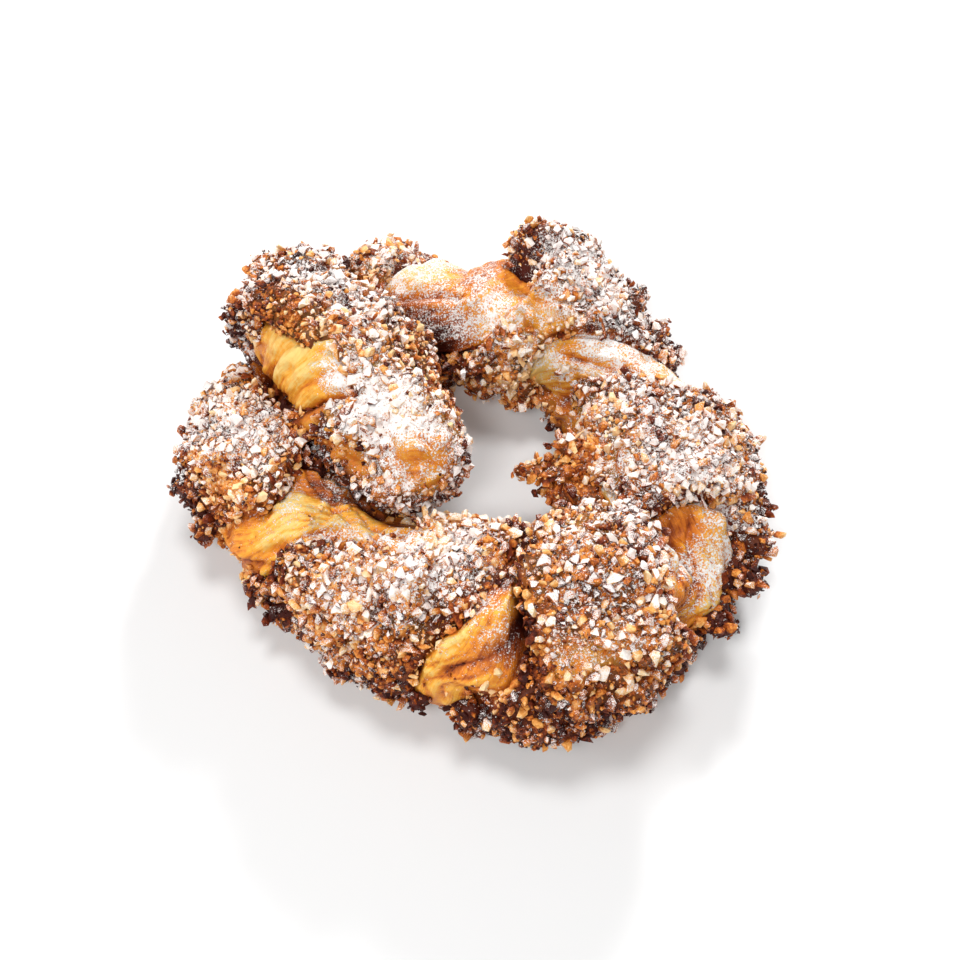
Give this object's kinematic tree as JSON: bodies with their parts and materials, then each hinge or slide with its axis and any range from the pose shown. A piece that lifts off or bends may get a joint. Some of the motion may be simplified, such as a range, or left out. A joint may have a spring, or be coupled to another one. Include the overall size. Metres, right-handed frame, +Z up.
{
  "type": "twisted puff pastry ring with chopped nuts",
  "caption": "A rope of twisted puff pastry coiled into a ring with its free end laid over the other, its folds coated by turns in chopped nuts, dusted with icing sugar.",
  "frame": {"origin": "middle of the pastry's overall length and width, on the flat it rests on", "axes": "+Z up from the resting flat; the free end lies at the -X side and points towards -Y; -Y is the side the ring's front faces"},
  "size_m": [0.143, 0.1442, 0.0558],
  "materials": {
    "baked_pastry": "matt baked crust"
  },
  "bodies": {
    "root": {"twisted_pastry": "baked_pastry"}
  },
  "joints": []
}
